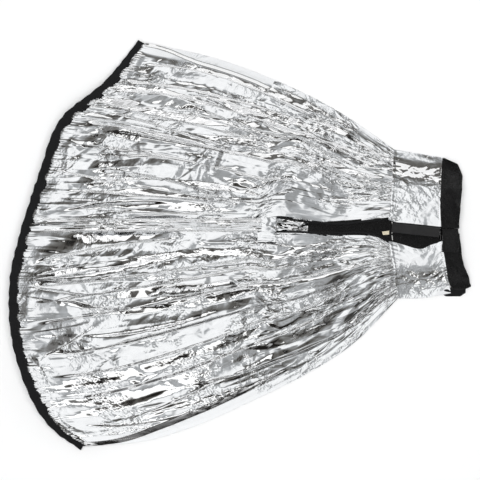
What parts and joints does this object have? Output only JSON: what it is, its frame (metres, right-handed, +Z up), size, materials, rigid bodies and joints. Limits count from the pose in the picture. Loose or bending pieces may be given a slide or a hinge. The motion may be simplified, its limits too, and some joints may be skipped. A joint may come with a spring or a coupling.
{
  "type": "umbrella reflector sleeve",
  "caption": "Collapsed reflective sleeve of crinkled silver film with a gathered black hem, a black waistband and a hook-and-loop placket, laid flat.",
  "frame": {"origin": "centre of the footprint, on the surface that the sleeve lies on", "axes": "+Z up from the table, +X from the wide gathered hem to the narrow waistband, +Y along the hem away from the placket flap's free edge"},
  "size_m": [1.1392, 1.0188, 0.0622],
  "materials": {
    "film": "gloss",
    "black_tape": "matte",
    "black_band": "matte",
    "hook_tape": "matte",
    "elastic": "matte",
    "light_thread": "satin",
    "black_thread": "satin",
    "label": "matte"
  },
  "bodies": {
    "sleeve": {"front_upper_panel": "film", "front_lower_panel": "film", "back_panel": "film", "centre_seam_band": "film", "yoke_front_upper": "film", "yoke_front_lower": "film", "yoke_back": "film", "hem_binding_front": "black_tape", "hem_binding_back": "black_tape", "slit_binding_upper": "black_tape", "slit_binding_lower": "black_tape", "waistband": "black_band", "underlap": "black_band", "waistband_loop_patch": "hook_tape", "placket_loop_tape": "hook_tape", "hem_elastic_front": "elastic", "hem_elastic_back": "elastic", "yoke_stitching_upper": "light_thread", "yoke_stitching_lower": "light_thread", "centre_stitching_upper": "light_thread", "centre_stitching_lower": "light_thread", "side_stitching_upper": "light_thread", "side_stitching_lower": "light_thread", "hem_stitching_front": "black_thread", "hem_stitching_back": "black_thread", "waist_stitching_upper": "black_thread", "waist_stitching_lower": "black_thread"},
    "placket_flap_body": {"placket_flap": "black_band", "placket_hook_tape": "hook_tape"},
    "waistband_tab_body": {"waistband_tab": "black_band", "waistband_tab_hook_patch": "hook_tape"},
    "label_body": {"care_label": "label"}
  },
  "joints": [
    {"name": "flap_hinge", "type": "hinge", "parent": "sleeve", "child": "placket_flap_body", "pos_m": [0.43499, 0.04856, 0.0308], "axis": [-0.9945, 0.1045, 0], "range_deg": [0, 150]},
    {"name": "tab_hinge", "type": "hinge", "parent": "sleeve", "child": "waistband_tab_body", "pos_m": [0.51879, 0.03961, 0.0283], "axis": [-1, 0, 0], "range_deg": [0, 150]},
    {"name": "label_hinge", "type": "hinge", "parent": "sleeve", "child": "label_body", "pos_m": [0.36869, 0.03076, 0.0274], "axis": [0, 1, 0], "range_deg": [0, 100]}
  ]
}
